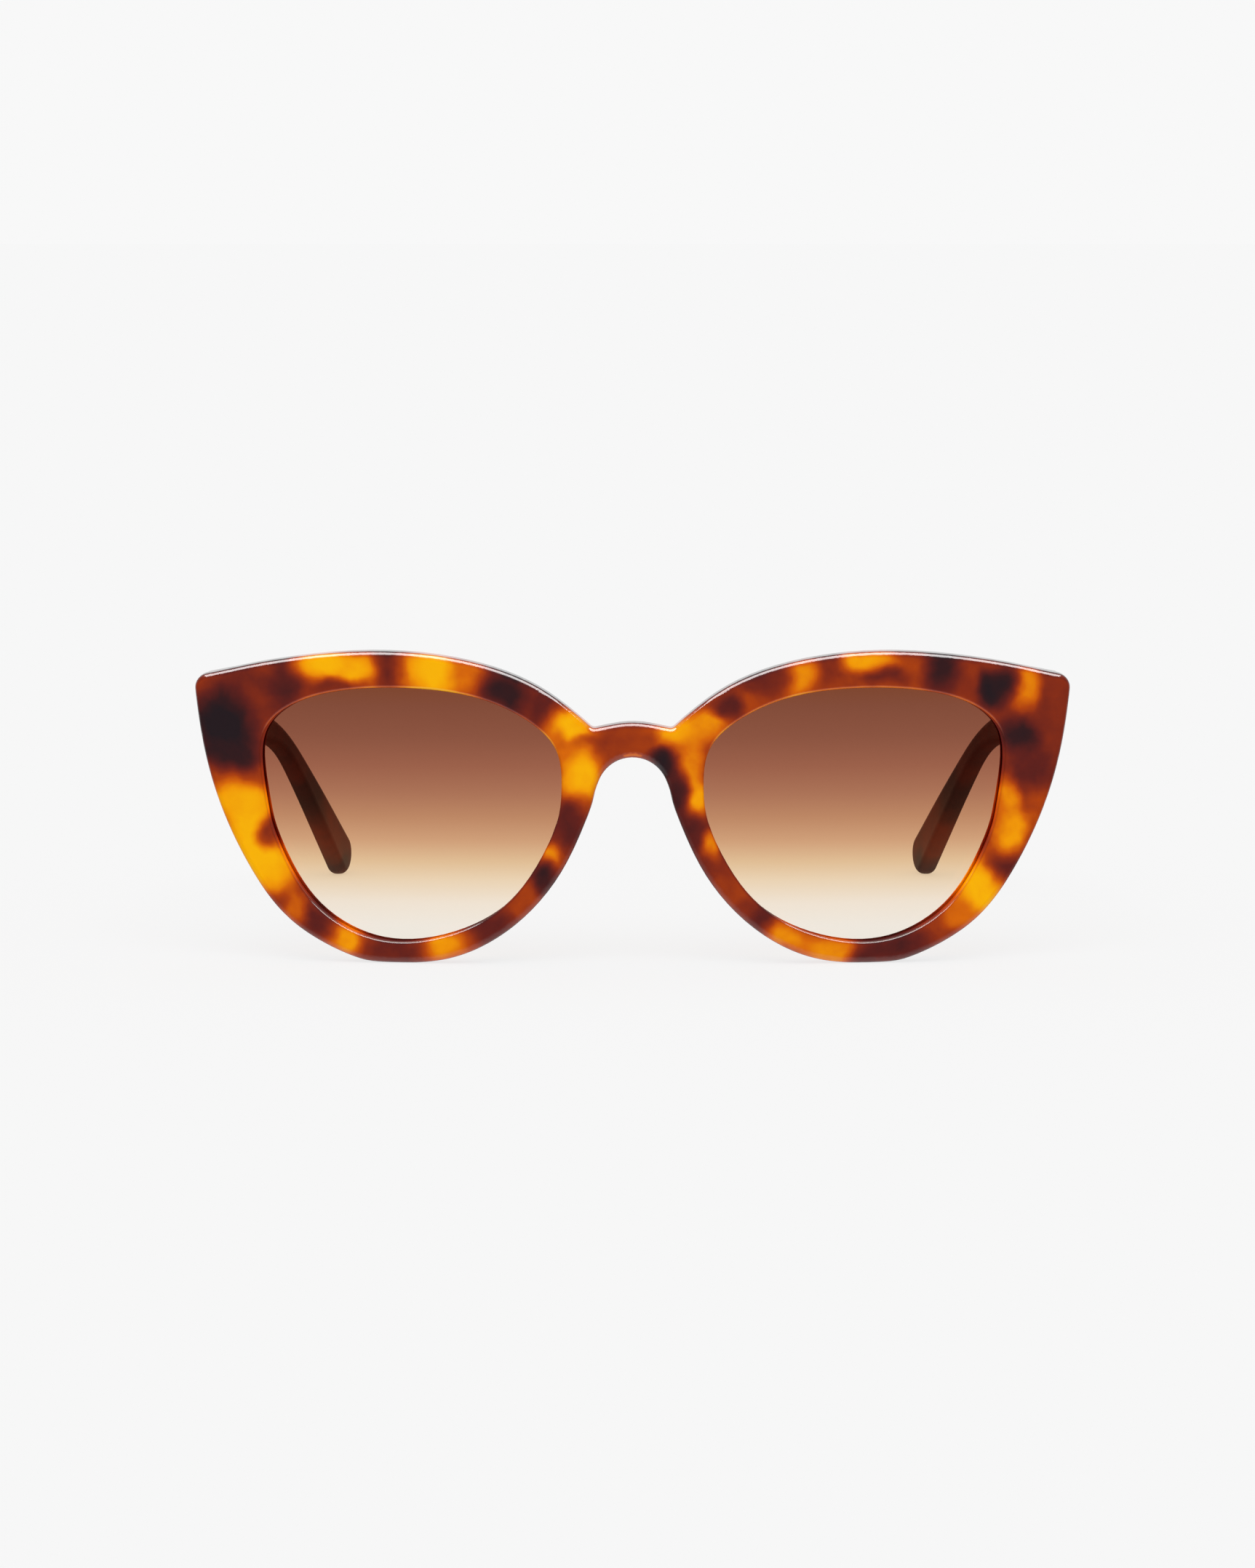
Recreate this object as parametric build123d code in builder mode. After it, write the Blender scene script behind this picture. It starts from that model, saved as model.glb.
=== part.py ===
from build123d import *
from math import asin, cos, degrees, radians, sin
import os

# Cat eye sunglasses: an acetate front, two bevelled lenses and two folding temples.
# X runs towards the wearer's left, Y from the front towards the temple tips, Z is up.
# The open sunglasses stand on their rims and temple tips, and the origin is on that
# surface, below the middle of their length and width.

# Overall
total_depth = 144.7
front_y = -total_depth / 2

cut_reach = 20.0

# Front: a slab bent to the face curve, cut to the cat eye outline
front_radius = 320.0
front_thickness = 5.2
front_edge_round = 1.1
back_edge_round = 0.8
opening_edge_round = 0.45
notch_round = 1.0
corner_round = 2.4
bridge_top_z = 40.55
notch_point = (6.65, 39.55)
corner_point = (73.5, 47.75)
rim_bottom_point = (37.9, 0.0)
arch_radius = 6.0
arch_top_z = 34.7
arch_half_angle = 66.0

# Lens openings, measured from the lens centre
lens_centre_x = 36.8
lens_centre_z = 25.1
OPENING = [
    (24.55, -0.35),
    (25.7, 6.7),
    (24.95, 14.1),
    (19.4, 18.55),
    (11.9, 20.55),
    (0.1, 21.05),
    (-11.1, 19.45),
    (-18.65, 16.15),
    (-24.1, 10.7),
    (-24.95, 4.9),
    (-24.5, 0.0),
    (-22.3, -5.8),
    (-15.45, -15.25),
    (-5.5, -20.45),
    (5.8, -21.2),
    (16.0, -16.0),
    (22.5, -6.25),
]

# Lenses: meniscus discs on a four base curve, with a bevel that sits in the groove
lens_radius = 131.0
lens_thickness = 1.9
lens_setback = 0.45
groove_depth = 0.6
tongue_setback = 0.55
lens_clearance = 0.04

# Brow facet, milled across the rounded edge beside the bridge
facet_points = ((7.0, 39.9), (22.9, 49.5))
facet_tilt = 15.0
facet_height = 8.0

# Nose pads
pad_centre = (11.05, 22.4)
pad_lean = 21.5
pad_axes = (1.85, 8.0)
pad_depth = 4.2
pad_splay = 0.9
pad_sunk = 1.0
pad_sections = 5
pad_crown = 0.9

# Hinges: five knuckles in a stack, three on the front leaf and two on the temple leaf
hinge_x = 65.4
hinge_y = front_y + 14.5
hinge_z = 41.7
knuckle_radius = 1.5
knuckle_height = 1.5
knuckle_gap = 0.06
knuckle_count = 5
screw_radius = 0.65
screw_clearance = 0.05
screw_head_radius = 1.05
screw_head_height = 0.5
screw_slot_width = 0.3
screw_slot_depth = 0.3
front_plate_x = 65.0
front_plate_size = (3.6, 1.0, 7.6)
front_web_x = (64.3, 66.5)
anchor_radius = 0.75
anchor_length = 1.7
anchor_offset = 2.2
temple_plate_start = 0.9
temple_plate_size = (1.0, 11.5, 6.2)
temple_web_depth = 2.0
stud_radius = 0.8
stud_places = (3.2, 9.2)

# Temples
temple_gap = 0.16
temple_inner_x = 67.2
hinge_end_thickness = 4.7
temple_edge_round = 1.5
end_piece_depth = 5.0
end_piece_round = 0.5
end_piece_corner = 1.2

# Temple core
core_width = 2.0
core_thickness = 1.0

# Half of the front's outline, as distance from the middle and height
BROW = [
    notch_point,
    (9.75, 42.25),
    (14.6, 45.8),
    (21.9, 49.2),
    (29.3, 51.1),
    (36.5, 52.05),
    (43.9, 52.25),
    (53.8, 51.5),
    (63.7, 49.9),
    corner_point,
]
SIDE = [
    corner_point,
    (73.2, 43.65),
    (71.95, 35.7),
    (69.5, 26.95),
    (64.0, 15.3),
    (56.4, 6.1),
    (46.4, 0.8),
    rim_bottom_point,
]
NOSE = [
    rim_bottom_point,
    (29.3, 1.15),
    (20.5, 5.8),
    (12.45, 14.55),
    (8.1, 23.3),
    (6.6, 27.5),
]

# Left end piece, seen from the front
END_PIECE = [(temple_inner_x, 34.9), (70.7, 34.9), (72.25, 45.5), (71.9, 48.1), (temple_inner_x, 49.0)]

# Temple seen from the side, as distance behind the front and height
TEMPLE_TOP = [
    (14.58, 48.2),
    (45.0, 43.6),
    (80.0, 37.3),
    (97.0, 33.15),
    (106.0, 29.5),
    (115.9, 23.95),
    (127.0, 17.2),
    (142.9, 7.1),
]
TEMPLE_BOTTOM = [
    (138.54, 0.78),
    (134.0, 4.2),
    (124.0, 11.8),
    (112.0, 20.65),
    (105.0, 25.1),
    (97.0, 28.2),
    (86.0, 30.0),
    (45.0, 33.1),
    (14.58, 35.6),
]
top_end_slope = (0.845, -0.535)
bottom_end_slope = (-0.8, 0.6)

# Temple seen from above: distance from the middle and distance behind the front
temple_bend_radius = 80.0
TEMPLE_INNER = [(67.2, 5.0), (66.9, 87.0), (51.8, 150.0)]
TEMPLE_OUTER = [(71.9, 5.0), (70.1, 87.2), (55.5, 150.0)]
TEMPLE_MIDDLE = [(69.55, 5.0), (68.5, 87.1), (53.65, 150.0)]

# Core wire seen from the side
CORE_LINE = [
    (17.0, 41.7),
    (45.0, 38.5),
    (80.0, 34.1),
    (97.0, 30.7),
    (106.0, 27.0),
    (115.0, 21.4),
    (125.0, 14.5),
    (134.0, 8.2),
]

face_tilt = degrees(asin(lens_centre_x / front_radius))
slab_height = 4 * bridge_top_z


def behind_front(points):
    """Turns distances behind the front into Y."""
    return [(front_y + distance, other) for distance, other in points]


def front_depth(x, setback=0.0):
    """Y of the front surface at x, or of a surface set back from it."""
    radius = front_radius - setback
    return front_y + front_radius - (radius**2 - x**2) ** 0.5


def mirrored(piece):
    """The same piece for the wearer's right."""
    with BuildPart() as other:
        mirror(piece, about=Plane.YZ)
    return other.part


def front_outline():
    """The cat eye outline of the front."""
    arch_angle = radians(arch_half_angle)
    arch_end = (
        arch_radius * sin(arch_angle),
        arch_top_z - arch_radius * (1 - cos(arch_angle)),
    )
    with BuildSketch() as outline:
        with BuildLine():
            Spline((0, bridge_top_z), notch_point, tangents=[(1, 0), (1, -0.16)])
            Spline(*BROW, tangents=[(0.72, 0.69), (1, -0.2)])
            Spline(*SIDE, tangents=[(0, -1), (-1, 0)])
            Spline(*NOSE, arch_end, tangents=[(-1, 0), (-cos(arch_angle), sin(arch_angle))])
            CenterArc((0, arch_top_z - arch_radius), arch_radius,
                      90 - arch_half_angle, arch_half_angle)
            Line((0, arch_top_z), (0, bridge_top_z))
        make_face()
        fillet(outline.vertices().sort_by_distance((*notch_point, 0))[0], notch_round)
        fillet(outline.vertices().sort_by_distance((*corner_point, 0))[0], corner_round)
        mirror(about=Plane.YZ)
    return outline.sketch


def lens_plane():
    """Plane through the left lens centre, square to the lens, facing forwards."""
    along = (cos(radians(face_tilt)), sin(radians(face_tilt)), 0)
    outwards = (sin(radians(face_tilt)), -cos(radians(face_tilt)), 0)
    centre = (lens_centre_x, front_depth(lens_centre_x), lens_centre_z)
    return Plane(origin=centre, x_dir=along, z_dir=outwards)


def grown(points, growth):
    """Points of a closed outline, listed anticlockwise, moved outwards."""
    moved = []
    for number, (x, z) in enumerate(points):
        before_x, before_z = points[number - 1]
        after_x, after_z = points[(number + 1) % len(points)]
        across = Vector(after_z - before_z, before_x - after_x).normalized() * growth
        moved.append((x + across.X, z + across.Y))
    return moved


def lens_shell(growth, front, back):
    """The left opening's outline, grown, cut to the lens curve between two depths."""
    plane = lens_plane()
    with BuildPart() as shell:
        with BuildSketch(plane):
            with BuildLine():
                Spline(*grown(OPENING, growth), periodic=True)
            make_face()
        extrude(amount=cut_reach, both=True)
        with Locations(plane.origin - plane.z_dir * (lens_setback + lens_radius)):
            Sphere(lens_radius - front, mode=Mode.INTERSECT)
            Sphere(lens_radius - back, mode=Mode.SUBTRACT)
    return shell.part


def lens_tongue(clearance=0.0):
    """The left lens at the depth of its tongue, or the space that this needs in the rim."""
    return lens_shell(groove_depth + clearance, tongue_setback - clearance,
                      lens_thickness - tongue_setback + clearance)


def make_lens():
    """The left lens, a meniscus with a tongue round its edge."""
    with BuildPart() as lens:
        add(lens_shell(-lens_clearance, 0, lens_thickness))
        add(lens_tongue())
    return lens.part


def bent_face(slab, radius):
    """The face of the slab that is bent to a radius."""
    bent = slab.faces().filter_by(GeomType.CYLINDER)
    return bent.filter_by(lambda face: abs(face.radius - radius) < 0.01)[0]


def front_slab():
    """The bent slab with its outline and openings, edges rounded."""
    with BuildPart() as opening:
        with BuildSketch(lens_plane()):
            with BuildLine():
                Spline(*OPENING, periodic=True)
            make_face()
        extrude(amount=cut_reach, both=True)
    with BuildPart() as slab:
        with BuildSketch(Plane.XZ.offset(-front_y)):
            add(front_outline())
        extrude(amount=cut_reach, both=True)
        with Locations((0, front_y + front_radius, 0)):
            Cylinder(front_radius, slab_height, mode=Mode.INTERSECT)
            Cylinder(front_radius - front_thickness, slab_height, mode=Mode.SUBTRACT)
        add(opening.part, mode=Mode.SUBTRACT)
        add(mirrored(opening.part), mode=Mode.SUBTRACT)
        for radius, outer_round in (
            (front_radius, front_edge_round),
            (front_radius - front_thickness, back_edge_round),
        ):
            face = bent_face(slab, radius)
            fillet([edge for wire in face.inner_wires() for edge in wire.edges()],
                   opening_edge_round)
            fillet(bent_face(slab, radius).outer_wire().edges(), outer_round)
    return slab.part


def end_piece():
    """The thicker left end of the front, which the temple closes against."""
    with BuildPart() as block:
        with BuildSketch(Plane.XZ.offset(temple_gap / 2 - hinge_y)):
            with BuildLine():
                Polyline(*END_PIECE, close=True)
            make_face()
        extrude(amount=end_piece_depth)
        outer_edges = block.edges().filter_by(Axis.Y).sort_by(Axis.X)[2:]
        fillet(outer_edges, end_piece_corner)
        fillet(block.faces().sort_by(Axis.Y)[-1].edges(), end_piece_round)
    return block.part


def brow_facet():
    """The block that mills the slanted facet on the left brow beside the bridge."""
    (inner_x, inner_z), (outer_x, outer_z) = facet_points
    middle_x = (inner_x + outer_x) / 2
    middle = (middle_x, front_depth(middle_x), (inner_z + outer_z) / 2)
    crease = Vector(outer_x - inner_x, 0, outer_z - inner_z)
    along = crease.normalized()
    up = Vector(-along.Z, 0, along.X)
    tilt = radians(facet_tilt)
    outwards = up * sin(tilt) - Vector(0, 1, 0) * cos(tilt)
    with BuildPart() as block:
        with BuildSketch(Plane(origin=middle, x_dir=along, z_dir=outwards)):
            Rectangle(crease.length, facet_height)
        extrude(amount=facet_height)
    return block.part


def make_nose_pad():
    """The left glued pad: a leaning oval on the rim that tapers and splays backwards."""
    base_y = front_depth(pad_centre[0], front_thickness)
    with BuildPart() as pad:
        for section in range(pad_sections + 1):
            share = section / pad_sections
            size = (1 - (pad_crown * share) ** 2) ** 0.5
            with BuildSketch(Plane.XZ.offset(pad_sunk - base_y - share * (pad_depth + pad_sunk))):
                with Locations((pad_centre[0] + share**2 * pad_splay, pad_centre[1])):
                    Ellipse(pad_axes[0] * size, pad_axes[1] * size, rotation=pad_lean)
        loft()
        with Locations((0, front_y + front_radius, 0)):
            Cylinder(front_radius - front_thickness, slab_height, mode=Mode.INTERSECT)
    return pad.part


def knuckle_middle(number):
    """Z of the middle of a knuckle, counted from the lowest."""
    return hinge_z + (number - (knuckle_count - 1) / 2) * (knuckle_height + knuckle_gap)


def knuckles(numbers, web_middle, web_size):
    """Barrels on the hinge line, each with its web, bored for the screw."""
    with BuildPart() as barrels:
        for number in numbers:
            with Locations((hinge_x, hinge_y, knuckle_middle(number))):
                Cylinder(knuckle_radius, knuckle_height)
            with Locations((*web_middle, knuckle_middle(number))):
                Box(*web_size, knuckle_height)
    return barrels.part


def make_front_hinge():
    """The left front leaf: a plate in the back of the front, two anchors, three knuckles."""
    plate_y = front_depth(front_plate_x, front_thickness)
    plate_turn = degrees(asin(front_plate_x / front_radius))
    web_x = sum(front_web_x) / 2
    web_size = (front_web_x[1] - front_web_x[0], hinge_y - plate_y + front_plate_size[1] / 2)
    with BuildPart() as leaf:
        with Locations(Location((front_plate_x, plate_y, hinge_z), (0, 0, plate_turn))):
            with Locations((0, -front_plate_size[1] / 3, 0)):
                Box(*front_plate_size)
            with Locations(*[Location((0, -front_plate_size[1] - anchor_length / 2, offset), (90, 0, 0))
                             for offset in (-anchor_offset, anchor_offset)]):
                Cylinder(anchor_radius, anchor_length + front_plate_size[1])
        add(knuckles((0, 2, 4), (web_x, hinge_y - web_size[1] / 2), web_size))
        with Locations((hinge_x, hinge_y, hinge_z)):
            Cylinder(screw_radius + screw_clearance, cut_reach, mode=Mode.SUBTRACT)
        with Locations((hinge_x, hinge_y, screw_top())):
            Cylinder(screw_head_radius + screw_clearance, 2 * (screw_head_height + screw_clearance),
                     mode=Mode.SUBTRACT)
    return leaf.part


def screw_top():
    """Z of the top of the screw head, level with the top knuckle."""
    return knuckle_middle(knuckle_count - 1) + knuckle_height / 2


def make_hinge_screw():
    """The left hinge screw: slotted head sunk in the top knuckle, shank through all five."""
    length = screw_top() - knuckle_middle(0) + knuckle_height / 2
    with BuildPart() as screw:
        with Locations((hinge_x, hinge_y, screw_top() - length / 2)):
            Cylinder(screw_radius, length)
        with Locations((hinge_x, hinge_y, screw_top() - screw_head_height / 2)):
            Cylinder(screw_head_radius, screw_head_height)
        with Locations((hinge_x, hinge_y, screw_top())):
            Box(screw_slot_width, 2 * screw_head_radius, 2 * screw_slot_depth, mode=Mode.SUBTRACT)
    return screw.part


def make_temple_hinge(core):
    """The left temple leaf: a plate in the inner face, two studs and two knuckles."""
    plate_x = temple_inner_x + temple_plate_size[0] / 2
    plate_y = hinge_y + temple_plate_start + temple_plate_size[1] / 2
    core_x = temple_inner_x + (hinge_end_thickness - core_thickness) / 2
    stud_length = core_x - temple_inner_x + core_thickness / 2
    web_size = (plate_x - hinge_x, temple_web_depth)
    with BuildPart() as leaf:
        with Locations((plate_x, plate_y, hinge_z)):
            Box(*temple_plate_size)
        with Locations(*[Location((temple_inner_x + stud_length / 2, hinge_y + place, hinge_z),
                                  (0, 90, 0)) for place in stud_places]):
            Cylinder(stud_radius, stud_length)
        add(core, mode=Mode.SUBTRACT)
        add(knuckles((1, 3), (hinge_x + web_size[0] / 2, hinge_y + web_size[1] / 2), web_size))
        with Locations((hinge_x, hinge_y, hinge_z)):
            Cylinder(screw_radius + screw_clearance, cut_reach, mode=Mode.SUBTRACT)
    return leaf.part


def plan_line(points):
    """Points seen from above, with Y counted from the front."""
    return [(x, front_y + distance) for x, distance in points]


def make_temple():
    """The left temple: side outline crossed with the plan outline, long edges rounded."""
    inner = plan_line(TEMPLE_INNER)
    outer = plan_line(TEMPLE_OUTER)
    with BuildPart() as plan:
        with BuildSketch():
            with BuildLine():
                FilletPolyline(*inner, radius=temple_bend_radius)
                Line(inner[-1], outer[-1])
                FilletPolyline(*outer, radius=temple_bend_radius)
                Line(outer[0], inner[0])
            make_face()
        extrude(amount=slab_height, both=True)
    with BuildPart() as temple:
        top = behind_front(TEMPLE_TOP)
        bottom = behind_front(TEMPLE_BOTTOM)
        with BuildSketch(Plane.YZ):
            with BuildLine():
                Spline(*top, tangents=[(1, -0.14), top_end_slope])
                TangentArc(top[-1], bottom[0], tangent=top_end_slope)
                Spline(*bottom, tangents=[bottom_end_slope, (-1, 0.1)])
                Line(bottom[-1], top[0])
            make_face()
        extrude(amount=slab_height)
        add(plan.part, mode=Mode.INTERSECT)
        hinge_end = temple.faces().sort_by(Axis.Y)[0]
        flat_faces = temple.faces().filter_by(GeomType.PLANE)
        flat_faces += temple.faces().filter_by(GeomType.CYLINDER)
        rim_faces = [face for face in temple.faces() if face not in flat_faces]
        rim_edges = ShapeList(edge for face in rim_faces for edge in face.edges())
        fillet([edge for edge in rim_edges if edge not in hinge_end.edges()], temple_edge_round)
    return temple.part


def make_temple_core():
    """The left core wire, flat and bent with the temple."""
    with BuildPart() as plan:
        with BuildSketch():
            with BuildLine():
                FilletPolyline(*plan_line(TEMPLE_MIDDLE), radius=temple_bend_radius)
            trace(line_width=core_thickness)
        extrude(amount=slab_height)
    with BuildPart() as core:
        with BuildSketch(Plane.YZ):
            with BuildLine():
                Spline(*behind_front(CORE_LINE))
            trace(line_width=core_width)
        extrude(amount=slab_height)
        add(plan.part, mode=Mode.INTERSECT)
    return core.part


def make_front_frame(hinge):
    """The acetate front with its end pieces, facets, lens grooves and hinge pockets."""
    with BuildPart() as front:
        add(front_slab())
        for piece, mode in (
            (end_piece(), Mode.ADD),
            (brow_facet(), Mode.SUBTRACT),
            (lens_tongue(lens_clearance), Mode.SUBTRACT),
            (hinge, Mode.SUBTRACT),
        ):
            add(piece, mode=mode)
            add(mirrored(piece), mode=mode)
    return front.part


def cut_temple(temple, *pieces):
    """The temple with pockets for the pieces set in it."""
    with BuildPart() as pocketed:
        add(temple)
        for piece in pieces:
            add(piece, mode=Mode.SUBTRACT)
    return pocketed.part


def save(name, piece):
    """Labels a piece and writes it."""
    piece.label = name
    export_step(piece, f"parts/{name}.step")


os.makedirs("parts", exist_ok=True)
front_hinge = make_front_hinge()
temple_core = make_temple_core()
temple_hinge = make_temple_hinge(temple_core)
save("front_frame", make_front_frame(front_hinge))
for name, piece in (
    ("lens", make_lens()),
    ("nose_pad", make_nose_pad()),
    ("front_hinge", front_hinge),
    ("hinge_screw", make_hinge_screw()),
    ("temple_hinge", temple_hinge),
    ("temple_core", temple_core),
    ("temple", cut_temple(make_temple(), temple_hinge, temple_core)),
):
    save(f"{name}_left", piece)
    save(f"{name}_right", mirrored(piece))
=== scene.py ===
import math

import bpy
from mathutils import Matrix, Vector


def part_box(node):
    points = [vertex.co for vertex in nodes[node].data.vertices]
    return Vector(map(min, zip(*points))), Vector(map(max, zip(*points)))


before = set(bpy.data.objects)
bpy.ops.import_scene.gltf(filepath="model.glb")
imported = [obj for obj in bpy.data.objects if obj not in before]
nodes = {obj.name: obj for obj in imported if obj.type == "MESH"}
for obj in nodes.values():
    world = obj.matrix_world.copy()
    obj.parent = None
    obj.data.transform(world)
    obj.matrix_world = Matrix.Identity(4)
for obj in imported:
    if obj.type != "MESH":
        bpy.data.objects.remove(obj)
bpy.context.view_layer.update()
front_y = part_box("front_frame")[0].y

MM = 0.001

# Camera, in front and a little above, tilted down by some degrees
CAMERA_PLACE = (-0.00085, front_y - 1.0, 0.124)
CAMERA_TILT = 5.35
FOCAL_LENGTH = 138.4
SENSOR_WIDTH = 36.0
NEAREST, FURTHEST = 0.05, 100.0

# Tones of the acetate, from amber at 0 to nearly black at 1
TONES = [
    (0.0, (246, 176, 0)),
    (0.15, (238, 148, 0)),
    (0.3, (212, 102, 5)),
    (0.45, (174, 66, 12)),
    (0.6, (134, 45, 22)),
    (0.75, (96, 33, 28)),
    (0.9, (54, 28, 30)),
    (1.0, (38, 28, 32)),
]
# The temples, whose dark parts look greyer: a painted sheen, standing in for the reflection haze
# on them
TEMPLE_TONES_WITH_PAINTED_SHEEN = TONES[:4] + [
    (0.6, (118, 58, 44)),
    (0.75, (92, 52, 46)),
    (0.9, (66, 46, 48)),
    (1.0, (50, 42, 46)),
]

# Blotches of the front: middle x and z, half width and half height in mm, tone
FRONT_BASE = 0.54
FRONT_BLOTCHES = [
    (-69.0, 43.0, 9.0, 9.0, 0.62), (68.0, 40.0, 11.0, 13.0, 0.64), (14.0, 17.0, 8.0, 11.0, 0.62),
    (-71.5, 47.0, 3.0, 2.6, 0.54), (-65.0, 46.5, 4.0, 3.0, 0.7), (-61.5, 43.0, 3.0, 3.5, 0.64),
    (-68.4, 39.6, 5.2, 5.8, 1.05), (-67.6, 35.4, 4.6, 3.0, 0.94), (-58.2, 47.0, 3.4, 5.0, 0.8),
    (-51.5, 50.2, 5.2, 3.2, 0.0), (-46.8, 49.0, 4.2, 2.8, 0.06), (-50.0, 45.8, 4.8, 1.7, 0.66),
    (-40.4, 49.8, 2.8, 4.6, 0.74), (-33.4, 49.4, 5.2, 4.8, 0.0), (-27.0, 48.6, 3.2, 3.6, 0.3),
    (-21.4, 46.0, 4.4, 3.8, 0.92), (-15.4, 43.0, 3.8, 3.2, 0.76),
    (-9.8, 39.6, 4.8, 3.2, 0.02), (-12.6, 36.8, 1.8, 2.8, 0.34), (-7.8, 36.4, 2.8, 1.4, 0.5),
    (-2.0, 37.2, 4.0, 2.6, 0.58), (-9.0, 31.4, 3.8, 4.6, 0.02), (-10.6, 23.8, 3.2, 4.4, 0.76),
    (-13.6, 18.6, 2.0, 2.1, 0.22), (-14.3, 14.4, 2.4, 3.1, 0.88), (-18.4, 10.6, 2.8, 3.4, 0.5),
    (-23.8, 6.2, 3.6, 3.2, 0.76), (-27.2, 4.0, 2.0, 2.2, 0.6), (-31.6, 2.8, 4.8, 3.2, 0.14),
    (-39.6, 1.6, 5.8, 3.4, 0.72), (-48.4, 4.0, 2.8, 2.9, 0.14), (-53.0, 7.2, 3.0, 3.3, 0.78),
    (-56.6, 9.2, 2.2, 2.8, 0.36), (-59.8, 11.2, 2.4, 2.6, 0.66), (-61.4, 16.0, 5.0, 5.2, 0.0),
    (-64.8, 22.2, 4.4, 6.0, 0.0), (-66.2, 27.0, 5.4, 3.4, 0.06), (-61.0, 21.8, 2.2, 2.8, 0.6),
    (7.6, 39.4, 5.0, 2.5, 0.08), (12.6, 40.4, 2.9, 2.9, 0.18), (0.8, 37.6, 3.0, 2.4, 0.52),
    (9.8, 34.0, 2.2, 5.2, 0.24), (11.2, 27.6, 1.9, 4.0, 0.1), (4.6, 35.0, 2.4, 1.6, 0.86),
    (5.4, 32.8, 1.9, 2.8, 1.0), (7.2, 28.2, 2.1, 5.0, 0.86), (10.0, 21.6, 2.9, 3.8, 0.78),
    (13.5, 19.2, 1.7, 2.4, 0.24), (12.8, 15.6, 2.2, 2.7, 0.66), (16.2, 12.2, 3.1, 3.5, 0.52),
    (18.6, 9.3, 2.2, 2.0, 0.62), (21.6, 7.6, 2.5, 2.5, 0.8), (25.4, 4.9, 3.4, 2.5, 0.2),
    (32.4, 2.4, 5.0, 3.3, 0.2), (39.2, 1.6, 3.2, 3.1, 0.74), (45.0, 2.4, 6.2, 3.4, 0.8),
    (52.0, 5.8, 2.9, 3.1, 0.56), (57.9, 12.4, 4.6, 5.4, 0.0), (54.0, 7.6, 2.6, 2.5, 0.3),
    (63.3, 16.4, 3.3, 3.0, 0.76), (63.2, 21.8, 2.8, 4.2, 0.14), (62.6, 28.2, 2.3, 4.0, 0.2),
    (67.6, 24.6, 2.4, 6.0, 0.46), (66.4, 33.2, 4.4, 4.2, 0.76), (65.0, 38.4, 3.2, 2.9, 0.9),
    (66.0, 46.0, 2.4, 3.4, 0.24), (61.0, 46.2, 2.9, 3.2, 0.98), (56.6, 48.4, 2.0, 3.4, 0.6),
    (51.8, 49.2, 3.3, 4.2, 0.9), (46.8, 49.6, 2.2, 3.6, 0.5), (42.6, 47.9, 4.4, 1.7, 0.7),
    (38.6, 50.8, 5.0, 2.3, 0.1), (32.8, 50.0, 3.0, 3.8, 0.64), (27.8, 48.0, 2.8, 3.6, 0.18),
    (21.8, 47.6, 4.2, 2.8, 0.7), (19.6, 44.2, 3.2, 1.8, 0.5), (15.8, 43.2, 2.6, 2.4, 0.78),
]
# Blotches of the temples: middle y and z, half length and half height in mm, tone
TEMPLE_BASE = 0.7
TEMPLE_BLOTCHES = [
    (-50.0, 44.0, 8.0, 9.0, 0.15), (-38.0, 40.0, 8.0, 8.0, 0.85), (-26.0, 38.0, 7.0, 7.0, 0.2),
    (-15.0, 37.0, 8.0, 8.0, 0.9), (-3.0, 36.0, 7.0, 6.0, 0.4), (9.0, 35.0, 9.0, 7.0, 0.7),
    (22.0, 31.0, 8.0, 8.0, 0.74), (33.0, 26.0, 6.0, 7.0, 0.8), (46.0, 16.5, 7.5, 8.0, 0.92),
    (59.5, 9.0, 5.0, 5.5, 0.66), (66.5, 2.0, 4.0, 2.6, 0.86),
]
PAD_BASE = 0.35
PAD_BLOTCHES = [(0.0, 22.0, 30.0, 6.0, 0.3)]

# Where a blotch starts to fade and where it ends, in half widths
BLOTCH_SOLID, BLOTCH_END = 0.25, 1.55
# Noise that bends the blotches: its scale, and how far it moves them in mm
WARPS = ((0.11, 3.4), (0.45, 0.9))
CLOUD_SCALE, CLOUD_TONE = 0.3, 0.2
ACETATE_IOR = 1.49

# Shape of the front in mm, as the CAD has it
FRONT_RADIUS = 320.0
LENS_CENTRE = (36.8, 25.1)
# Where the parts of the front's edges start and end: depth behind the front face in mm,
# or a component of the normal, or how far the normal leans from the lens centre
WALL_DEPTH = (0.3, 0.8)
WALL_SIDEWAYS = (0.3, 0.9)
TOWARDS_LENS = (0.0, -3.0)
LIP_DEPTH = (0.5, 0.25)
FACING_DOWN = (-0.1, -0.6)
FACING_UP = (0.1, 0.4)
# What those parts add to the tone, more being darker: painted shade on the walls and on edges
# facing up, painted light on the walls round the lenses and on lips facing down
WALL_PAINTED_SHADE, BROW_PAINTED_SHADE, LENS_WALL_PAINTED_LIGHT, LIP_PAINTED_LIGHT = 0.2, 0.08, -0.15, -0.24
# Painted glow: emission on the walls round the lenses, standing in for light that comes through
# the acetate
WALL_PAINTED_GLOW = 0.6

# Colour of white seen through the lens, by height in mm
TINT = [
    (3.0, (244, 240, 230)), (6.0, (245, 238, 227)), (10.0, (244, 231, 214)),
    (14.0, (238, 214, 182)), (17.0, (228, 193, 152)), (20.5, (211, 163, 124)),
    (24.5, (192, 138, 103)), (28.5, (174, 117, 89)), (33.0, (158, 99, 76)),
    (38.0, (142, 86, 66)), (43.0, (133, 78, 59)), (47.0, (127, 70, 46)),
]
WHITE_BEHIND = (247, 247, 247)
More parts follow.
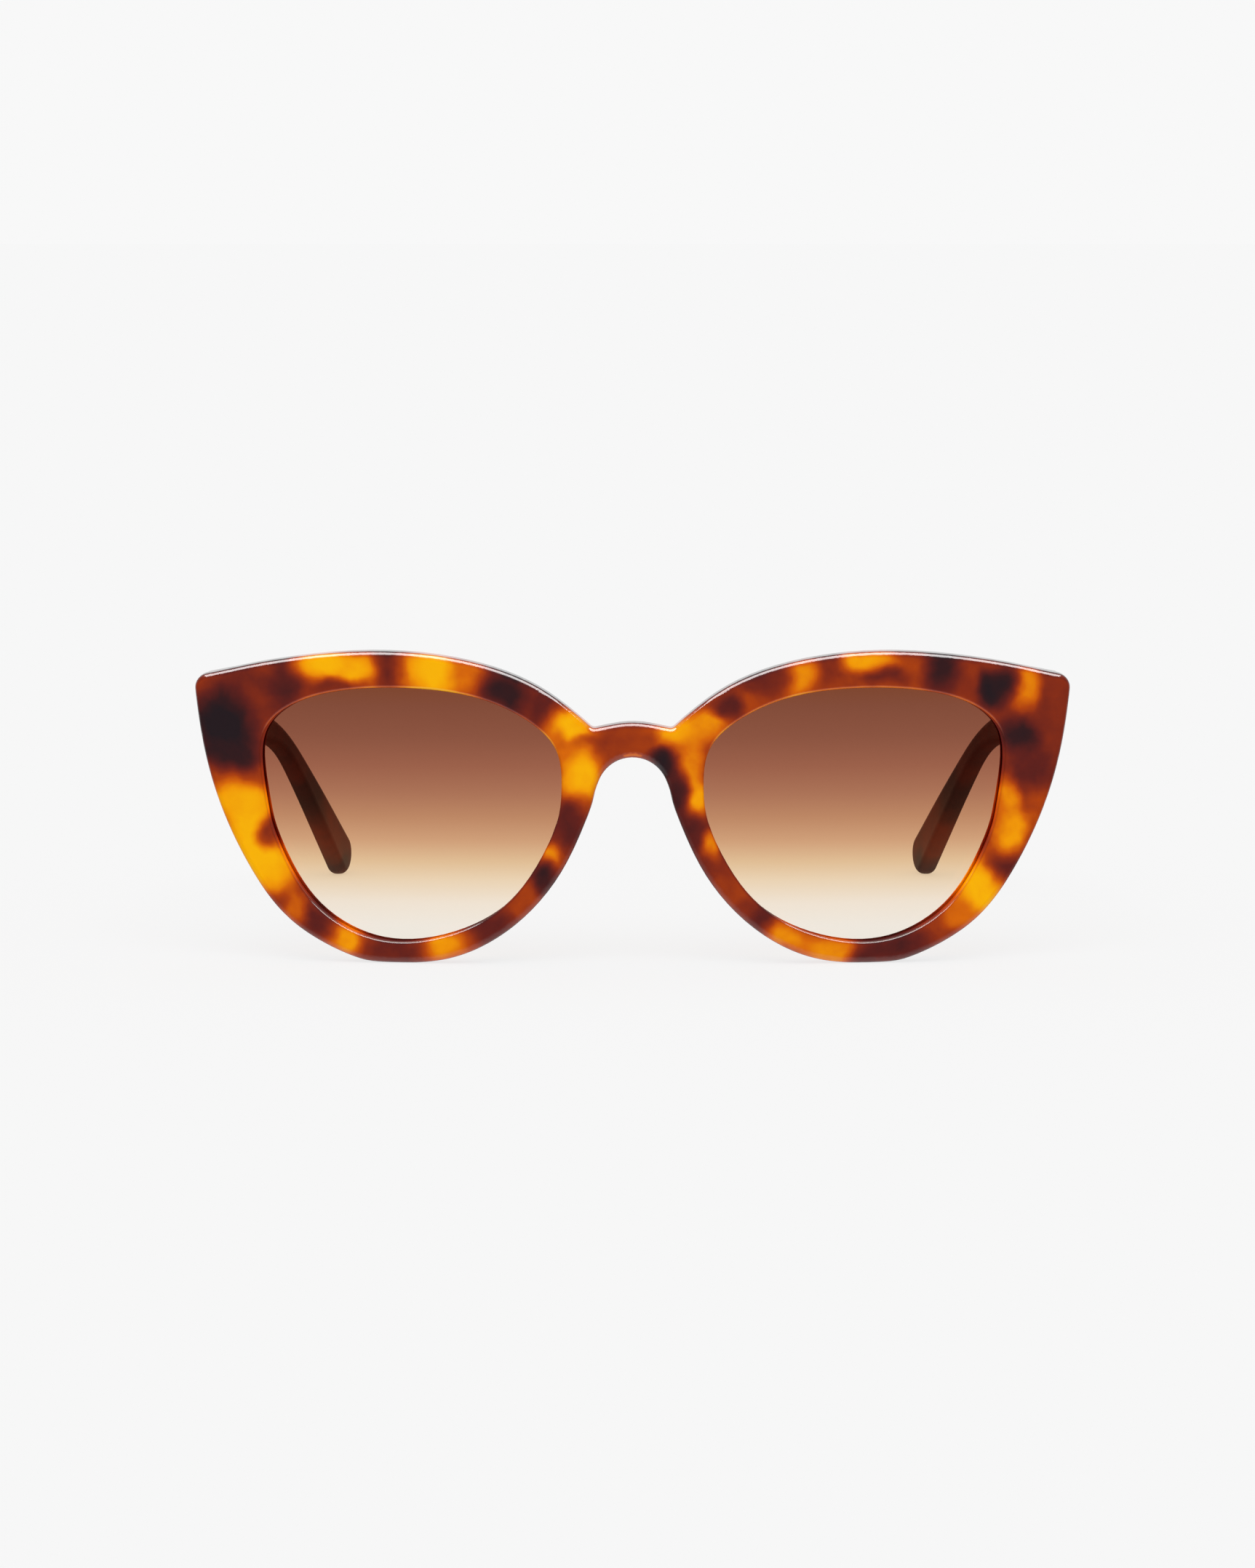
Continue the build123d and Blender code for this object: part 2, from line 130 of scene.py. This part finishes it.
# Painted shade: a darker tint on the lens's edge faces, drawing the dark line round the lens
LENS_RIM_PAINTED_SHADE = (215, 195, 170)
LENS_ROUGHNESS = 0.03
HEAD_ON_GLOSS = 0.017
GRAZING_POWER = 5.0
# Where the rim of a lens starts and its faces end, as the normal's part along y
RIM_FACES, LENS_FACES = 0.6, 0.85

# Brushed metal
BRUSH_SCALE = 2500.0
BRUSH_DEPTH = 0.02 * MM
BRUSH_STRENGTH = 0.1
ROUGHNESS_SPREAD = 0.08
DARKER_SHARE = 0.86

# Floor and studio, as radiance
FLOOR_HALF = 30.0
FLOOR_DROP = 0.05 * MM
FLOOR_DIFFUSE = 0.15
FLOOR_GLOW = 0.772
BACKDROP = (248, 248, 248)
AMBIENT = 0.75
BRIGHT, DIM = 0.9, 0.02
BACKDROP_FROM_FRONT = (0.0, 0.8)
BACKDROP_FROM_BELOW = (-0.6, -0.1)
OVERHEAD = (0.55, 1.0)
GROUND = (-0.3, -0.8)
SUN_ENERGY, SUN_ANGLE = 1.2, 50.0
STRIP_ENERGY, STRIP_SIZE = 40.0, (1.4, 0.7)


# ---------------------------------------------------------------- node helpers
def linear(red, green, blue):
    """A colour given as 0 to 255 on screen, as the shaders want it."""
    out = []
    for value in (red, green, blue):
        value /= 255.0
        low = value <= 0.04045
        out.append(value / 12.92 if low else ((value + 0.055) / 1.055) ** 2.4)
    return (*out, 1.0)


def new_material(name):
    material = bpy.data.materials.new(name)
    material.use_nodes = True
    material.node_tree.nodes.clear()
    return material, material.node_tree


def add_node(tree, kind, inputs=None, **settings):
    """A node with its settings, and its inputs by name or number."""
    node = tree.nodes.new(kind)
    for key, value in settings.items():
        setattr(node, key, value)
    for socket, value in (inputs or {}).items():
        node.inputs[socket].default_value = value
    return node


def math_node(tree, operation, first, second=None):
    """A maths node whose inputs are sockets or numbers."""
    node = add_node(tree, "ShaderNodeMath", operation=operation)
    for socket, value in zip(node.inputs, (first, second)):
        if value is None:
            continue
        if isinstance(value, (int, float)):
            socket.default_value = value
        else:
            tree.links.new(value, socket)
    return node.outputs[0]


def smooth_step(tree, value, start, end, low=0.0, high=1.0):
    node = add_node(tree, "ShaderNodeMapRange", interpolation_type="SMOOTHSTEP",
                    inputs={"From Min": start, "From Max": end, "To Min": low, "To Max": high})
    tree.links.new(value, node.inputs["Value"])
    return node.outputs[0]


def colour_ramp(tree, value, stops):
    """A colour ramp with its stops, each a place from 0 to 1 and a colour."""
    ramp = add_node(tree, "ShaderNodeValToRGB")
    elements = ramp.color_ramp.elements
    while len(elements) < len(stops):
        elements.new(0.5)
    for element, (place, colour) in zip(elements, stops):
        element.position = place
        element.color = colour
    tree.links.new(value, ramp.inputs["Fac"])
    return ramp.outputs["Color"]


def mix_shaders(tree, factor, first, second):
    mix = add_node(tree, "ShaderNodeMixShader")
    for socket, value in zip(mix.inputs, (factor, first, second)):
        tree.links.new(value, socket)
    return mix.outputs[0]


def add_shaders(tree, first, second):
    both = add_node(tree, "ShaderNodeAddShader")
    tree.links.new(first, both.inputs[0])
    tree.links.new(second, both.inputs[1])
    return both.outputs[0]


def set_surface(tree, shader):
    out = add_node(tree, "ShaderNodeOutputMaterial")
    tree.links.new(shader, out.inputs["Surface"])


# ---------------------------------------------------------------- acetate
def blotch_group():
    """Paints one soft oval of a tone over the tone that comes in."""
    group = bpy.data.node_groups.new("blotch", "ShaderNodeTree")
    sockets = {"Tone": "Float", "Place": "Vector", "Centre": "Vector", "Scale": "Vector",
               "Paint": "Float"}
    for name, kind in sockets.items():
        group.interface.new_socket(name, in_out="INPUT", socket_type="NodeSocket" + kind)
    group.interface.new_socket("Tone", in_out="OUTPUT", socket_type="NodeSocketFloat")
    source = group.nodes.new("NodeGroupInput")
    target = group.nodes.new("NodeGroupOutput")
    away = add_node(group, "ShaderNodeVectorMath", operation="SUBTRACT")
    scaled = add_node(group, "ShaderNodeVectorMath", operation="MULTIPLY")
    length = add_node(group, "ShaderNodeVectorMath", operation="LENGTH")
    mix = add_node(group, "ShaderNodeMix", data_type="FLOAT")
    link = group.links.new
    link(source.outputs["Place"], away.inputs[0])
    link(source.outputs["Centre"], away.inputs[1])
    link(away.outputs[0], scaled.inputs[0])
    link(source.outputs["Scale"], scaled.inputs[1])
    link(scaled.outputs[0], length.inputs[0])
    soft = smooth_step(group, length.outputs["Value"], BLOTCH_END, BLOTCH_SOLID)
    link(soft, mix.inputs["Factor"])
    link(source.outputs["Tone"], mix.inputs["A"])
    link(source.outputs["Paint"], mix.inputs["B"])
    link(mix.outputs["Result"], target.inputs["Tone"])
    return group


def through_front(blotches):
    """Blotches given by x and z, that run straight through the front."""
    return [((x, 0.0, z), (half_x, 0.0, half_z), tone) for x, z, half_x, half_z, tone in blotches]


def across_temple(blotches):
    """Blotches given by y and z, that run straight through the temples."""
    return [((0.0, y, z), (0.0, half_y, half_z), tone) for y, z, half_y, half_z, tone in blotches]


def warped(tree, in_mm):
    """The place, moved a little by noise, so that the blotches aren't plain ovals."""
    link = tree.links.new
    where = in_mm
    for scale, amount in WARPS:
        noise = add_node(tree, "ShaderNodeTexNoise", inputs={"Scale": scale, "Detail": 1.0})
        centred = add_node(tree, "ShaderNodeVectorMath", operation="SUBTRACT",
                           inputs={1: (0.5, 0.5, 0.5)})
        spread = add_node(tree, "ShaderNodeVectorMath", operation="SCALE",
                          inputs={"Scale": amount})
        moved = add_node(tree, "ShaderNodeVectorMath", operation="ADD")
        link(in_mm, noise.inputs["Vector"])
        link(noise.outputs["Color"], centred.inputs[0])
        link(centred.outputs[0], spread.inputs[0])
        link(where, moved.inputs[0])
        link(spread.outputs[0], moved.inputs[1])
        where = moved.outputs[0]
    return where


def painted_tone(tree, where, blotches, base_tone):
    """The tone after every blotch in turn, with a faint cloud over it."""
    tone = None
    for centre, half, paint in blotches:
        scale = [1.0 / value if value else 0.0 for value in half]
        blotch = add_node(tree, "ShaderNodeGroup", node_tree=blotch_tree)
        for socket, value in (("Centre", centre), ("Scale", scale), ("Paint", paint)):
            blotch.inputs[socket].default_value = value
        tree.links.new(where, blotch.inputs["Place"])
        if tone is None:
            blotch.inputs["Tone"].default_value = base_tone
        else:
            tree.links.new(tone, blotch.inputs["Tone"])
        tone = blotch.outputs["Tone"]
    cloud = add_node(tree, "ShaderNodeTexNoise",
                     inputs={"Scale": CLOUD_SCALE, "Detail": 3.0, "Roughness": 0.5})
    tree.links.new(where, cloud.inputs["Vector"])
    centred = math_node(tree, "SUBTRACT", cloud.outputs["Fac"], 0.5)
    return math_node(tree, "ADD", tone, math_node(tree, "MULTIPLY", centred, CLOUD_TONE))


def front_edges(tree, in_mm, normal):
    """Painted shade and light on the front's edges, as what they add to the tone, and where the
    walls round the lenses are.
    """
    where = add_node(tree, "ShaderNodeSeparateXYZ")
    facing = add_node(tree, "ShaderNodeSeparateXYZ")
    tree.links.new(in_mm, where.inputs[0])
    tree.links.new(normal, facing.inputs[0])
    x, y, z = where.outputs
    facing_x, facing_y, facing_z = facing.outputs

    def calc(operation, first, second=None):
        return math_node(tree, operation, first, second)

    from_middle = calc("ABSOLUTE", x)
    sag = calc("DIVIDE", calc("POWER", from_middle, 2.0), 2 * FRONT_RADIUS)
    depth = calc("SUBTRACT", calc("SUBTRACT", y, front_y / MM), sag)
    sideways = calc("SUBTRACT", 1.0, calc("ABSOLUTE", facing_y))
    across = calc("SUBTRACT", from_middle, LENS_CENTRE[0])
    above = calc("SUBTRACT", z, LENS_CENTRE[1])
    facing_out = calc("MULTIPLY", facing_x, calc("SIGN", x))
    leaning = calc("ADD", calc("MULTIPLY", across, facing_out), calc("MULTIPLY", above, facing_z))
    towards_lens = smooth_step(tree, leaning, *TOWARDS_LENS)
    wall = calc("MULTIPLY", smooth_step(tree, depth, *WALL_DEPTH),
                smooth_step(tree, sideways, *WALL_SIDEWAYS))
    lens_wall = calc("MULTIPLY", wall, towards_lens)
    lip = calc("MULTIPLY", smooth_step(tree, facing_z, *FACING_DOWN),
               smooth_step(tree, depth, *LIP_DEPTH))
    lip = calc("MULTIPLY", lip, towards_lens)
    # Painted shade on the walls and on edges facing up, painted light on the walls round the
    # lenses and on lips facing down
    painted_light_and_shade = calc("MULTIPLY", wall, WALL_PAINTED_SHADE)
    for part, tone in ((smooth_step(tree, facing_z, *FACING_UP), BROW_PAINTED_SHADE),
                       (lens_wall, LENS_WALL_PAINTED_LIGHT), (lip, LIP_PAINTED_LIGHT)):
        painted_light_and_shade = calc("ADD", painted_light_and_shade, calc("MULTIPLY", part, tone))
    return painted_light_and_shade, lens_wall


def acetate(name, blotches, base_tone, tones=TONES, roughness=0.1, specular=0.5, front=False):
    """Polished tortoiseshell: soft blotches, bent a little, over a base tone; on the front,
    painted shade and light on the edges and a painted glow on the walls round the lenses.
    """
    material, tree = new_material(name)
    link = tree.links.new
    place = add_node(tree, "ShaderNodeTexCoord")
    in_mm = add_node(tree, "ShaderNodeVectorMath", operation="SCALE", inputs={"Scale": 1.0 / MM})
    link(place.outputs["Object"], in_mm.inputs[0])
    tone = painted_tone(tree, warped(tree, in_mm.outputs[0]), blotches, base_tone)
    if front:
        edges, lens_wall = front_edges(tree, in_mm.outputs[0], place.outputs["Normal"])
        tone = math_node(tree, "ADD", tone, edges)
    colour = colour_ramp(tree, tone, [(stop, linear(*shade)) for stop, shade in tones])
    polished = add_node(tree, "ShaderNodeBsdfPrincipled", inputs={
        "Roughness": roughness, "IOR": ACETATE_IOR, "Specular IOR Level": specular})
    link(colour, polished.inputs["Base Color"])
    surface = polished.outputs[0]
    if front:
        # The walls round the lenses go matte, with a painted glow of their own colour added
        matte = add_node(tree, "ShaderNodeBsdfDiffuse")
        glow = add_node(tree, "ShaderNodeEmission", inputs={"Strength": WALL_PAINTED_GLOW})
        link(colour, matte.inputs["Color"])
        link(colour, glow.inputs["Color"])
        lit = add_shaders(tree, matte.outputs[0], glow.outputs[0])
        surface = mix_shaders(tree, lens_wall, surface, lit)
    set_surface(tree, surface)
    return material


# ---------------------------------------------------------------- metal and lens
def metal(name, colour, roughness):
    """Metal with a fine brushed bump."""
    material, tree = new_material(name)
    link = tree.links.new
    place = add_node(tree, "ShaderNodeTexCoord")
    noise = add_node(tree, "ShaderNodeTexNoise", inputs={"Scale": BRUSH_SCALE, "Detail": 3.0})
    rough = add_node(tree, "ShaderNodeMapRange", inputs={
        "To Min": roughness - ROUGHNESS_SPREAD, "To Max": roughness + ROUGHNESS_SPREAD})
    tint = add_node(tree, "ShaderNodeMix", data_type="RGBA")
    tint.inputs["A"].default_value = linear(*colour)
    tint.inputs["B"].default_value = linear(*[value * DARKER_SHARE for value in colour])
    bump = add_node(tree, "ShaderNodeBump",
                    inputs={"Strength": BRUSH_STRENGTH, "Distance": BRUSH_DEPTH})
    shader = add_node(tree, "ShaderNodeBsdfPrincipled", inputs={"Metallic": 1.0})
    link(place.outputs["Object"], noise.inputs["Vector"])
    link(noise.outputs["Fac"], rough.inputs["Value"])
    link(noise.outputs["Fac"], tint.inputs["Factor"])
    link(noise.outputs["Fac"], bump.inputs["Height"])
    link(rough.outputs[0], shader.inputs["Roughness"])
    link(tint.outputs["Result"], shader.inputs["Base Color"])
    link(bump.outputs[0], shader.inputs["Normal"])
    set_surface(tree, shader.outputs[0])
    return material


def tint_stops():
    """The lens tint by height, halved between its two faces."""
    low, high = TINT[0][0], TINT[-1][0]
    white = linear(*WHITE_BEHIND)
    return [((z - low) / (high - low), [(a / b) ** 0.5 for a, b in zip(linear(*colour), white)])
            for z, colour in TINT]


def tinted(name):
    """A sun lens: clear at the bottom, brown at the top, polished, with painted shade on its edge
    faces.
    """
    material, tree = new_material(name)
    link = tree.links.new
    place = add_node(tree, "ShaderNodeTexCoord")
    axes = add_node(tree, "ShaderNodeSeparateXYZ")
    facing = add_node(tree, "ShaderNodeSeparateXYZ")
    height = add_node(tree, "ShaderNodeMapRange",
                      inputs={"From Min": TINT[0][0] * MM, "From Max": TINT[-1][0] * MM})
    # Painted shade: the edge faces take a darker tint
    rim = add_node(tree, "ShaderNodeMix", data_type="RGBA", blend_type="MULTIPLY")
    rim.inputs["B"].default_value = linear(*LENS_RIM_PAINTED_SHADE)
    through = add_node(tree, "ShaderNodeBsdfTransparent")
    gloss = add_node(tree, "ShaderNodeBsdfGlossy", inputs={"Roughness": LENS_ROUGHNESS})
    grazing = add_node(tree, "ShaderNodeLayerWeight", inputs={"Blend": 0.5})
    link(place.outputs["Object"], axes.inputs[0])
    link(axes.outputs["Z"], height.inputs["Value"])
    link(place.outputs["Normal"], facing.inputs[0])
    link(colour_ramp(tree, height.outputs[0], tint_stops()), rim.inputs["A"])
    across = math_node(tree, "ABSOLUTE", facing.outputs["Y"])
    link(smooth_step(tree, across, LENS_FACES, RIM_FACES), rim.inputs["Factor"])
    link(rim.outputs["Result"], through.inputs["Color"])
    edge_on = math_node(tree, "POWER", grazing.outputs["Facing"], GRAZING_POWER)
    sheen = math_node(tree, "MULTIPLY", edge_on, 1.0 - HEAD_ON_GLOSS)
    sheen = math_node(tree, "ADD", sheen, HEAD_ON_GLOSS)
    on_faces = smooth_step(tree, across, RIM_FACES, LENS_FACES)
    share = math_node(tree, "MULTIPLY", sheen, on_faces)
    set_surface(tree, mix_shaders(tree, share, through.outputs[0], gloss.outputs[0]))
    return material


# ---------------------------------------------------------------- studio
def add_camera():
    data = bpy.data.cameras.new("camera")
    data.lens = FOCAL_LENGTH
    data.sensor_width = SENSOR_WIDTH
    data.clip_start = NEAREST
    data.clip_end = FURTHEST
    camera = bpy.data.objects.new("camera", data)
    camera.location = CAMERA_PLACE
    camera.rotation_euler = (math.radians(90.0 - CAMERA_TILT), 0.0, 0.0)
    bpy.context.scene.collection.objects.link(camera)
    bpy.context.scene.camera = camera


def add_floor():
    """A pale floor, mostly lit from itself so that its shadows stay soft."""
    corners = [(x * FLOOR_HALF, y * FLOOR_HALF, 0)
               for x, y in ((-1, -1), (1, -1), (1, 1), (-1, 1))]
    mesh = bpy.data.meshes.new("floor")
    mesh.from_pydata(corners, [], [(0, 1, 2, 3)])
    floor = bpy.data.objects.new("floor", mesh)
    bpy.context.scene.collection.objects.link(floor)
    material, tree = new_material("floor_white")
    grey = (FLOOR_DIFFUSE, FLOOR_DIFFUSE, FLOOR_DIFFUSE, 1.0)
    diffuse = add_node(tree, "ShaderNodeBsdfDiffuse", inputs={"Color": grey})
    glow = add_node(tree, "ShaderNodeEmission", inputs={"Strength": FLOOR_GLOW})
    set_surface(tree, add_shaders(tree, diffuse.outputs[0], glow.outputs[0]))
    mesh.materials.append(material)
    floor.location.z = -FLOOR_DROP
    floor.visible_glossy = False


def set_world():
    """Even light all round, a pale backdrop, and brighter and darker parts for gloss only."""
    world = bpy.data.worlds.new("studio")
    bpy.context.scene.world = world
    world.use_nodes = True
    tree = world.node_tree
    tree.nodes.clear()
    link = tree.links.new
    rays = add_node(tree, "ShaderNodeLightPath")
    place = add_node(tree, "ShaderNodeTexCoord")
    axes = add_node(tree, "ShaderNodeSeparateXYZ")
    glossy = add_node(tree, "ShaderNodeMix", data_type="FLOAT", inputs={"A": AMBIENT})
    seen = add_node(tree, "ShaderNodeMix", data_type="FLOAT", inputs={"B": linear(*BACKDROP)[0]})
    background = add_node(tree, "ShaderNodeBackground")
    out = add_node(tree, "ShaderNodeOutputWorld")
    link(place.outputs["Generated"], axes.inputs[0])
    y, z = axes.outputs["Y"], axes.outputs["Z"]
    behind = math_node(tree, "MULTIPLY", smooth_step(tree, y, *BACKDROP_FROM_FRONT, DIM, BRIGHT),
                       smooth_step(tree, z, *BACKDROP_FROM_BELOW))
    overhead = smooth_step(tree, z, *OVERHEAD, 0.0, BRIGHT)
    ground = smooth_step(tree, z, *GROUND, 0.0, BRIGHT)
    around = math_node(tree, "MAXIMUM", math_node(tree, "MAXIMUM", behind, overhead), ground)
    link(around, glossy.inputs["B"])
    link(rays.outputs["Is Glossy Ray"], glossy.inputs["Factor"])
    link(rays.outputs["Is Camera Ray"], seen.inputs["Factor"])
    link(glossy.outputs["Result"], seen.inputs["A"])
    link(seen.outputs["Result"], background.inputs["Color"])
    link(background.outputs[0], out.inputs["Surface"])


def add_light(name, kind, place, aim, **settings):
    data = bpy.data.lights.new(name, kind)
    for key, value in settings.items():
        setattr(data, key, value)
    lamp = bpy.data.objects.new(name, data)
    lamp.location = place
    lamp.rotation_euler = (Vector(aim) - Vector(place)).to_track_quat("-Z", "Y").to_euler()
    bpy.context.scene.collection.objects.link(lamp)
    return lamp


def dress(node, material):
    data = nodes[node].data
    data.materials.clear()
    data.materials.append(material)


# ---------------------------------------------------------------- the sunglasses
blotch_tree = blotch_group()
lens_tint = tinted("lens_tint")
pad_acetate = acetate("pad_acetate", through_front(PAD_BLOTCHES), PAD_BASE)
temple_acetate = acetate("temple_acetate", across_temple(TEMPLE_BLOTCHES), TEMPLE_BASE,
                         TEMPLE_TONES_WITH_PAINTED_SHEEN, roughness=0.45, specular=0.08)
hinge_metal = metal("hinge_metal", (214, 204, 182), 0.32)
screw_metal = metal("screw_metal", (206, 206, 208), 0.25)
core_metal = metal("core_metal", (196, 196, 194), 0.3)

dress("front_frame",
      acetate("front_acetate", through_front(FRONT_BLOTCHES), FRONT_BASE, front=True))
for side in ("left", "right"):
    dress(f"lens_{side}", lens_tint)
    dress(f"nose_pad_{side}", pad_acetate)
    dress(f"temple_{side}", temple_acetate)
    dress(f"front_hinge_{side}", hinge_metal)
    dress(f"temple_hinge_{side}", hinge_metal)
    dress(f"hinge_screw_{side}", screw_metal)
    dress(f"temple_core_{side}", core_metal)

# ---------------------------------------------------------------- stage
bpy.context.scene.view_settings.view_transform = "Standard"
add_camera()
add_floor()
set_world()
sun = add_light("key", "SUN", (0, -0.6, 0.8), (0, 0, 0), energy=SUN_ENERGY,
                angle=math.radians(SUN_ANGLE))
sun.visible_glossy = False
strip = add_light("top_strip", "AREA", (0, -0.15, 0.9), (0, 0, 0.03), shape="RECTANGLE",
                  size=STRIP_SIZE[0], size_y=STRIP_SIZE[1], energy=STRIP_ENERGY)
strip.visible_diffuse = False
